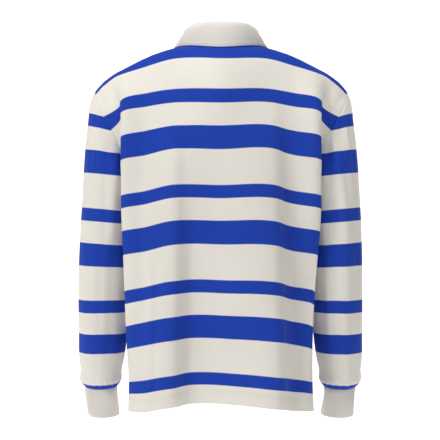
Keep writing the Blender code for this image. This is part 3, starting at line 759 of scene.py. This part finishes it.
def shell(name, grid, u, v, thickness, material, around=0.0, left_out=None):
    """A cloth piece over a grid of millimetre points, with its place on the cut cloth as a map.

    A tube says how far around its cloth goes, and left_out marks faces that aren't made.
    """
    closed = around > 0
    rows, columns = grid.shape[:2]
    number = np.arange(rows * columns).reshape(rows, columns)
    nexts = np.roll(number, -1, axis=1) if closed else number[:, 1:]
    here = number if closed else number[:, :-1]
    quads = np.stack([here[:-1], here[1:], nexts[1:], nexts[:-1]], axis=-1)
    quads = quads.reshape(-1, 4) if left_out is None else quads[~left_out]
    piece = new_piece(name, (grid.reshape(-1, 3) * MM).tolist(), quads.tolist(), material)
    layer = piece.data.uv_layers.new(name="cloth")
    place = np.stack([u.reshape(-1)[quads], v.reshape(-1)[quads]], axis=-1)
    if closed:
        wraps = place[:, 2, 0] < place[:, 0, 0]
        place[wraps, 2:, 0] += around
    layer.data.foreach_set("uv", (place * MM).astype(np.float32).ravel())
    piece.data.validate()
    wall = piece.modifiers.new("cloth", "SOLIDIFY")
    wall.thickness = thickness
    wall.offset = 0
    wall.use_even_offset = False
    return piece


def flipped(grid):
    """The mirror image of a left piece's grid, for the right side."""
    return grid * (-1.0, 1.0, 1.0)


def stitches(name, lines, material, pitch=STITCH_PITCH, length=STITCH_LENGTH, radius=STITCH_RADIUS):
    """One mesh of short stitches along lines, each its points and unit vectors out of the cloth."""
    verts, faces = [], []
    sides = 6
    flatness = 0.7
    profile = (  # share of the length, share of the radius
        (-0.5, 0.25), (-0.34, 0.85), (0.0, 1.0), (0.34, 0.85), (0.5, 0.25),
    )
    for points, out in lines:
        along = line_lengths(points)
        places = np.arange(pitch / 2, along[-1], pitch)
        centre = on_line(places, along, points)
        run = unit(on_line(places + 0.5, along, points) - centre)
        normal = unit(on_line(places, along, out))
        across = unit(np.cross(run, normal))
        for k in range(len(places) - 1):
            base = len(verts)
            for shift, share in profile:
                for j in range(sides):
                    turn = 2 * math.pi * j / sides
                    away = across[k] * math.cos(turn) + normal[k] * math.sin(turn) * flatness
                    verts.append(centre[k] + run[k] * shift * length + away * radius * share)
            last = len(profile) - 1
            for i in range(last):
                for j in range(sides):
                    j2 = (j + 1) % sides
                    row, below = base + i * sides, base + (i + 1) * sides
                    faces.append((row + j, below + j, below + j2, row + j2))
            faces.append(tuple(base + j for j in range(sides)))
            faces.append(tuple(base + last * sides + j for j in reversed(range(sides))))
    return new_piece(name, (np.array(verts) * MM).tolist(), faces, material)


def row_line(grid, normals, row, lift, short):
    """A stitch line along a row of a grid, moved out of the cloth, and short by so many points."""
    inside = slice(short, -short)
    return grid[row, inside] + normals[row, inside] * lift, normals[row, inside]


# ---- Materials


NOISE_ENDS = (0.3, 0.7)


def add(tree, kind, inputs=None, **settings):
    """A shader node with its settings, and with each input given a value or joined to a socket."""
    node = tree.nodes.new(kind)
    for key, value in settings.items():
        setattr(node, key, value)
    for key, value in (inputs or {}).items():
        if isinstance(value, bpy.types.NodeSocket):
            tree.links.new(value, node.inputs[key])
        else:
            node.inputs[key].default_value = value
    return node


def calc(tree, operation, a, b=0.0, c=0.0):
    return add(tree, "ShaderNodeMath", {0: a, 1: b, 2: c}, operation=operation).outputs[0]


def ramp(tree, factor, stops, interpolation="LINEAR"):
    """A colour ramp; stops are (place, colour)."""
    node = add(tree, "ShaderNodeValToRGB", {0: factor})
    node.color_ramp.interpolation = interpolation
    elements = node.color_ramp.elements
    elements[0].position, elements[0].color = stops[0]
    elements[1].position, elements[1].color = stops[-1]
    for place, colour in stops[1:-1]:
        element = elements.new(place)
        element.color = colour
    return node.outputs[0]


def new_material(name, inputs):
    """A material, its node tree and its shader, whose own inputs are set."""
    material = bpy.data.materials.new(name)
    material.use_nodes = True
    shader = material.node_tree.nodes["Principled BSDF"]
    for key, value in inputs.items():
        shader.inputs[key].default_value = value
    return material, material.node_tree, shader


def cloth_material(name, roughness, sheen):
    """A cloth material and the parts of it that each kind fills in."""
    material, tree, shader = new_material(name, {
        "Roughness": roughness,
        "Specular IOR Level": 0.25,
        "Sheen Weight": sheen,
        "Sheen Roughness": 0.45,
        "Sheen Tint": (1.0, 0.98, 0.95, 1.0),
    })
    place = add(tree, "ShaderNodeUVMap", uv_map="cloth").outputs[0]
    u, v, _ = add(tree, "ShaderNodeSeparateXYZ", {0: place}).outputs
    return material, tree, shader, place, u, v


def noise_of(tree, place, scale, detail):
    inputs = {"Vector": place, "Scale": scale, "Detail": detail}
    return add(tree, "ShaderNodeTexNoise", inputs).outputs[0]


def stretched(tree, noise, low, high):
    """Noise, most of which lies between the two NOISE_ENDS, made to lie between low and high."""
    start, end = NOISE_ENDS
    inputs = {"Value": noise, "From Min": start, "From Max": end, "To Min": low, "To Max": high}
    return add(tree, "ShaderNodeMapRange", inputs).outputs[0]


def uneven(tree, place, colour, fine, slow):
    """The colour with slow shading over the cloth and fine flecks of yarn."""
    for scale, amount, detail in ((14.0, slow, 3.0), (900.0, fine, 2.0)):
        noise = noise_of(tree, place, scale, detail)
        tone = stretched(tree, noise, 1 - amount, 1 + amount)
        grey = add(tree, "ShaderNodeCombineXYZ", {0: tone, 1: tone, 2: tone}).outputs[0]
        inputs = {0: colour, 1: grey}
        colour = add(tree, "ShaderNodeVectorMath", inputs, operation="MULTIPLY").outputs[0]
    return colour


def finish(tree, shader, colour, height, distance, strength):
    """Gives the shader its colour, and the height as a bump so deep."""
    tree.links.new(colour, shader.inputs["Base Color"])
    node = add(tree, "ShaderNodeBump", {"Height": height, "Distance": distance, "Strength": strength})
    tree.links.new(node.outputs[0], shader.inputs["Normal"])


def knit(tree, u, v, wale, course):
    """The height of plain knit, its loops leaning together in each wale, and each loop's lean."""
    across = calc(tree, "FRACT", calc(tree, "DIVIDE", u, wale))
    lean = calc(tree, "ABSOLUTE", calc(tree, "MULTIPLY_ADD", across, 2.0, -1.0))
    rise = calc(tree, "MULTIPLY_ADD", lean, 0.55, calc(tree, "DIVIDE", v, course))
    loop = calc(tree, "SINE", calc(tree, "MULTIPLY", calc(tree, "FRACT", rise), math.pi))
    leg = calc(tree, "SINE", calc(tree, "MULTIPLY", lean, math.pi))
    return calc(tree, "MULTIPLY", loop, calc(tree, "MULTIPLY_ADD", leg, 0.6, 0.4)), lean


def jersey():
    """Heavy cotton jersey with knitted-in hoops; each hoop's edge steps with the loops."""
    material, tree, shader, place, u, v = cloth_material("striped_jersey_knit", 0.9, 0.03)
    height, lean = knit(tree, u, v, 1.25 * MM, 1.0 * MM)
    stepped = calc(tree, "MULTIPLY_ADD", lean, 0.35 * MM, v)
    from_start = calc(tree, "SUBTRACT", stepped, HOOP_START * MM)
    phase = calc(tree, "FRACT", calc(tree, "DIVIDE", from_start, HOOP_REPEAT * MM))
    stops = [(0.0, BLUE)]
    for low, high in (WIDE_HOOP, NARROW_HOOP):
        if low > 0:
            stops += [(low - HOOP_SOFT, WHITE), (low + HOOP_SOFT, BLUE)]
        stops += [(high - HOOP_SOFT, BLUE), (high + HOOP_SOFT, WHITE)]
    stops.append((1.0, WHITE))
    colour = ramp(tree, phase, stops)
    finish(tree, shader, uneven(tree, place, colour, 0.05, 0.018), height, 0.35 * MM, 0.45)
    return material


def rib():
    """Off-white rib for the cuffs, with the loops of its raised wales."""
    material, tree, shader, place, u, v = cloth_material("off_white_rib_knit", 0.9, 0.12)
    height, _ = knit(tree, u, v, 1.35 * MM, 1.1 * MM)
    finish(tree, shader, uneven(tree, place, WHITE_RIB, 0.05, 0.02), height, 0.4 * MM, 0.5)
    return material


def twill():
    """Off-white cotton twill for the collar and placket: fine ribs on the slant."""
    material, tree, shader, place, u, v = cloth_material("off_white_twill_weave", 0.84, 0.10)
    slant = calc(tree, "MULTIPLY_ADD", u, 1.0, v)
    wave = calc(tree, "SINE", calc(tree, "MULTIPLY", slant, 2 * math.pi / (1.1 * MM)))
    thread = calc(tree, "SINE", calc(tree, "MULTIPLY", u, 2 * math.pi / (0.5 * MM)))
    height = calc(tree, "MULTIPLY_ADD", thread, 0.35, wave)
    finish(tree, shader, uneven(tree, place, WHITE_TWILL, 0.04, 0.02), height, 0.16 * MM, 0.4)
    return material


def mottled(name, inputs, scale, detail, low, high, strength):
    """A material mottled between two colours over the object itself, for what has no cloth map."""
    material, tree, shader = new_material(name, inputs)
    noise = noise_of(tree, add(tree, "ShaderNodeTexCoord").outputs["Object"], scale, detail)
    colour = ramp(tree, noise, [(NOISE_ENDS[0], low), (NOISE_ENDS[1], high)])
    finish(tree, shader, colour, noise, 0.1 * MM, strength)
    return material, tree, shader, noise


def thread():
    """Off-white sewing thread, flecked by its twist."""
    low, high = (0.60, 0.56, 0.49, 1.0), (0.74, 0.70, 0.62, 1.0)
    return mottled("sewing_thread", {"Roughness": 0.7}, 1400.0, 1.0, low, high, 0.5)[0]


def rubber():
    """Off-white rubber of the buttons, slightly clouded."""
    low, high = (0.70, 0.66, 0.58, 1.0), (0.80, 0.76, 0.68, 1.0)
    inputs = {"Specular IOR Level": 0.45}
    material, tree, shader, noise = mottled("button_rubber_cast", inputs, 260.0, 4.0, low, high, 0.25)
    tree.links.new(stretched(tree, noise, 0.38, 0.52), shader.inputs["Roughness"])
    return material


# ---- The shirt


def dress(piece, node):
    """The piece stands for the CAD node, which is hidden."""
    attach(piece, "root")
    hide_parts(node)


def trim(piece):
    """The piece is added to the cloth and stands for no node."""
    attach(piece, "root")


def slit_faces(grid, u, q):
    """The front's faces inside the placket's slit."""
    end = NECK_FRONT_Q + PLACKET_LENGTH - SLIT_SHORTER
    u_mid = (u[:-1, :-1] + u[1:, 1:]) / 2
    return (np.abs(u_mid) < SLIT_HALF_WIDTH) & (q[1:, 1:] < end)


def hem_row(q, above):
    """The row of a panel's grid that lies so far above its hem."""
    return int(np.argmin(np.abs(q[:, q.shape[1] // 2] - HEM_Q + above)))


def hem_lines(grid, q, side):
    normals = outward(grid, side)
    lift = JERSEY / MM / 2 + 0.1
    return [row_line(grid, normals, hem_row(q, line), lift, 8) for line in HEM_STITCHES]


def hem_turn(name, grid, u, q, side, material):
    """The turned-up edge inside the hem."""
    strip = slice(hem_row(q, HEM_TURN), -1), slice(6, -6)
    inner = grid[strip] - outward(grid, side)[strip] * HEM_TURN_UNDER
    return shell(name, inner, u[strip], q[strip], HEM_TURN_CLOTH, material)


def band(name, lift, half_width, start, end, material):
    """A band of the placket, lifted off the front, with a groove at its stitches and a rolled edge."""
    f = np.concatenate([[-1, -0.985], np.linspace(-0.95, 0.95, 24), [0.985, 1]])
    f = f * half_width / PANEL_HALF_WIDTH
    q = np.concatenate([[start, start + 0.6], np.linspace(start + 2, end - 2, 60), [end - 0.6, end]])
    f, q = np.meshgrid(f, q)
    away = np.minimum(half_width - np.abs(f) * PANEL_HALF_WIDTH, np.minimum(q - start, end - q))
    groove = -0.35 * np.exp(-(((away - BAND_STITCH_IN) / 0.9) ** 2))
    groove = groove - 0.45 * np.exp(-((away / 0.8) ** 2))
    grid = lifted(FRONT_SECTIONS, f, q, lift + groove * (1 if lift > 0 else 0))
    return shell(name, grid, f * PANEL_HALF_WIDTH, q, BAND_CLOTH, material)


def band_stitches(lift, half_width, start, end):
    """Stitch lines inside the band's two sides, and two across its foot."""
    inside = (half_width - BAND_STITCH_IN) / PANEL_HALF_WIDTH
    down = np.linspace(start + BAND_STITCH_IN, end - BAND_STITCH_IN, 60)
    across = np.linspace(-1, 1, 16) * (half_width - BAND_STITCH_IN) / PANEL_HALF_WIDTH
    places = [(np.full_like(down, side * inside), down) for side in (-1, 1)]
    places += [(across, np.full_like(across, end - foot)) for foot in (BAND_STITCH_IN, BAND_FOOT)]
    out_by = lift + BAND_CLOTH / MM / 2 + 0.05
    lines = []
    for f, q in places:
        points = lifted(FRONT_SECTIONS, f, q, out_by)
        lines.append((points, unit(points - panel(FRONT_SECTIONS, f, q))))
    return lines


def button(name, q, material):
    """A turned button with a domed rim and a sunk middle, and its centre and the way it faces."""
    profile = (  # share of the radius, share of the thickness
        (0.0, 0.10), (0.30, 0.10), (0.50, 0.14), (0.60, 0.32), (0.72, 0.46), (0.86, 0.46),
        (0.96, 0.28), (1.0, 0.0), (0.95, -0.32), (0.84, -0.46), (0.0, -0.5),
    )
    sides = 48
    verts, faces = [], []
    for share, height in profile:
        for j in range(sides):
            turn = 2 * math.pi * j / sides
            verts.append((share * math.cos(turn), share * math.sin(turn), height))
    for i in range(len(profile) - 1):
        for j in range(sides):
            j2 = (j + 1) % sides
            row, below = i * sides, (i + 1) * sides
            faces.append((below + j, below + j2, row + j2, row + j))
    verts = np.array(verts) * (BUTTON_RADIUS, BUTTON_RADIUS, BUTTON_THICKNESS)
    piece = new_piece(name, verts.tolist(), faces, material)
    under = JERSEY / 2 + SEAM_GAP + BAND_CLEAR + BAND_CLOTH
    lift = (under + BUTTON_CLEAR + BUTTON_THICKNESS / 2) / MM
    f, height = np.zeros(1), np.full(1, q)
    centre = lifted(FRONT_SECTIONS, f, height, lift)[0]
    normal = Vector(unit(centre - panel(FRONT_SECTIONS, f, height)[0]))
    weld = piece.modifiers.new("middle", "WELD")
    weld.merge_threshold = 0.01 * MM
    piece.location = Vector(centre) * MM
    piece.rotation_euler = Vector((0, 0, 1)).rotation_difference(normal).to_euler()
    return piece, Vector(centre) * MM, normal


def button_thread(name, centre, normal, material):
    """Two double bars of thread across the button's middle."""
    turn = Vector((0, 0, 1)).rotation_difference(normal)
    lines = []
    for shift in (-1.1, 1.1):
        for layer in (0.0, 0.35):
            ends = [Vector((-1.9, shift + layer, 0.62)), Vector((1.9, shift + layer, 0.62))]
            points = np.array([list(centre / MM + turn @ end) for end in ends])
            lines.append((points, np.array([list(normal)] * 2)))
    return stitches(name, lines, material, pitch=1.9, length=3.0, radius=0.3)


def build_shirt():
    jersey_cloth, rib_cloth, twill_cloth = jersey(), rib(), twill()
    sewing, cast = thread(), rubber()

    for name, sections, creases, seed in (
        ("back", BACK_SECTIONS, BACK_CREASES, 0.4),
        ("front", FRONT_SECTIONS, FRONT_CREASES, 2.3),
    ):
        side = side_of(sections)
        grid, u, q = panel_grid(sections, creases, seed)
        gone = slit_faces(grid, u, q) if side < 0 else None
        piece = shell(name + "_panel", grid, u, q, JERSEY, jersey_cloth, left_out=gone)
        dress(piece, name)
        turn = hem_turn(name + "_hem_turn", grid, u, q, side, jersey_cloth)
        trim(turn)
        sewn = stitches(name + "_hem_stitches", hem_lines(grid, q, side), sewing)
        trim(sewn)

    for hand, creases, seed, place in (
        ("left", LEFT_SLEEVE_CREASES, 0.9, lambda grid: grid),
        ("right", RIGHT_SLEEVE_CREASES, 4.2, flipped),
    ):
        grid, u, t = sleeve_grid(creases, seed, SWING[hand])
        piece = shell(f"sleeve_{hand}_cloth", place(grid), u, t, JERSEY, jersey_cloth, SLEEVE_ROUND)
        dress(piece, f"sleeve_{hand}")
        grid, u, drop = cuff_grid(seed, SWING[hand])
        piece = shell(f"cuff_{hand}_rib", place(grid), u, drop, RIB, rib_cloth, CUFF_ROUND)
        dress(piece, f"cuff_{hand}")

    grid, u, v = collar_grid()
    piece = shell("collar_cloth", grid, u, v, COLLAR_CLOTH, twill_cloth)
    dress(piece, "collar")
    normals = outward(grid, -1)
    row = int(np.argmin(np.abs(v[:, 0] - v[-1, 0] + COLLAR_STITCH_IN)))
    lift = COLLAR_CLOTH / MM / 2
    edge = stitches("collar_stitches", [row_line(grid, normals, row, lift, 4)], sewing)
    trim(edge)

    lift = ((JERSEY + BAND_CLOTH) / 2 + SEAM_GAP + BAND_CLEAR) / MM
    start = NECK_FRONT_Q + BAND_TOP
    end = NECK_FRONT_Q + PLACKET_LENGTH
    upper = band("placket_upper_band", lift, UPPER_BAND_HALF_WIDTH, start, end, twill_cloth)
    dress(upper, "placket_upper")
    lines = band_stitches(lift, UPPER_BAND_HALF_WIDTH, start, end)
    sewn = stitches("placket_stitches", lines, sewing, pitch=2.9, length=2.2, radius=0.36)
    trim(sewn)
    under = band(
        "placket_under_band", -lift, UNDER_BAND_HALF_WIDTH, start, end - UNDER_BAND_SHORTER, twill_cloth
    )
    dress(under, "placket_under")

    for i in range(BUTTON_COUNT):
        name = f"button_{i + 1}"
        piece, centre, normal = button(name + "_cast", FIRST_BUTTON_Q + BUTTON_PITCH * i, cast)
        dress(piece, name)
        tied = button_thread(name + "_thread", centre, normal, sewing)
        trim(tied)


# ---- The studio


CAMERA_AWAY = 2.2
CAMERA_Z = -0.3605
CAMERA_X = 0.0022
FOCAL = 85.9
WORLD_STRENGTH = 0.24
PAPER_GLOW = 0.62
FLOOR_Z = -1.42
FLOOR_REACH = 7.0
FLOOR_FRONT = 1.2
FLOOR_BEND = 1.2  # the radius where the floor turns up into the backdrop
BACKDROP_Y = -3.4
BACKDROP_TOP = 3.2
LIGHTS = (
    # name, place, aim, size, power, colour
    ("key", (2.6, 2.4, 1.6), (0.0, 0.0, -0.35), 1.4, 81.0, (1.0, 0.985, 0.96)),
    ("top", (-0.5, 1.3, 2.2), (0.0, 0.0, -0.1), 2.0, 46.0, (1.0, 1.0, 1.0)),
    ("front_fill", (-1.6, -2.4, 0.6), (0.0, 0.0, -0.35), 2.0, 9.0, (1.0, 1.0, 1.0)),
)


def area_light(name, place, aim, size, power, colour):
    data = bpy.data.lights.new(name, "AREA")
    data.shape = "RECTANGLE"
    data.size = data.size_y = size
    data.energy = power
    data.color = colour
    light = bpy.data.objects.new(name, data)
    light.location = place
    direction = Vector(aim) - Vector(place)
    light.rotation_euler = direction.to_track_quat("-Z", "Y").to_euler()
    bpy.context.scene.collection.objects.link(light)


def floor():
    """The floor and the backdrop that it turns up into, in one pale sheet of paper."""
    paper = new_material("pale_paper", {
        "Base Color": (0.86, 0.86, 0.86, 1.0),
        "Roughness": 0.9,
        "Emission Color": (1.0, 1.0, 1.0, 1.0),
        "Emission Strength": PAPER_GLOW,
    })[0]
    bend_y, bend_z = BACKDROP_Y + FLOOR_BEND, FLOOR_Z + FLOOR_BEND
    profile = [(FLOOR_FRONT, FLOOR_Z), (bend_y, FLOOR_Z)]
    for i in range(1, 13):
        turn = math.pi / 2 * i / 12
        profile.append((bend_y - FLOOR_BEND * math.sin(turn), bend_z - FLOOR_BEND * math.cos(turn)))
    profile.append((BACKDROP_Y, BACKDROP_TOP))
    verts = [(x, y, z) for y, z in profile for x in (-FLOOR_REACH, FLOOR_REACH)]
    faces = [(2 * i, 2 * i + 1, 2 * i + 3, 2 * i + 2) for i in range(len(profile) - 1)]
    new_piece("floor", verts, faces, paper)


def studio():
    scene = bpy.context.scene
    scene.view_settings.view_transform = "Standard"
    data = bpy.data.cameras.new("camera")
    data.lens = FOCAL
    data.sensor_width = 36.0
    camera = bpy.data.objects.new("camera", data)
    camera.location = (CAMERA_X, CAMERA_AWAY, CAMERA_Z)
    camera.rotation_euler = (math.radians(90), 0.0, math.radians(180))
    scene.collection.objects.link(camera)
    scene.camera = camera

    world = bpy.data.worlds.new("studio")
    world.use_nodes = True
    background = world.node_tree.nodes["Background"]
    background.inputs["Color"].default_value = (1.0, 1.0, 1.0, 1.0)
    background.inputs["Strength"].default_value = WORLD_STRENGTH
    scene.world = world

    for light in LIGHTS:
        area_light(*light)
    floor()


build_shirt()
studio()
bpy.context.view_layer.update()
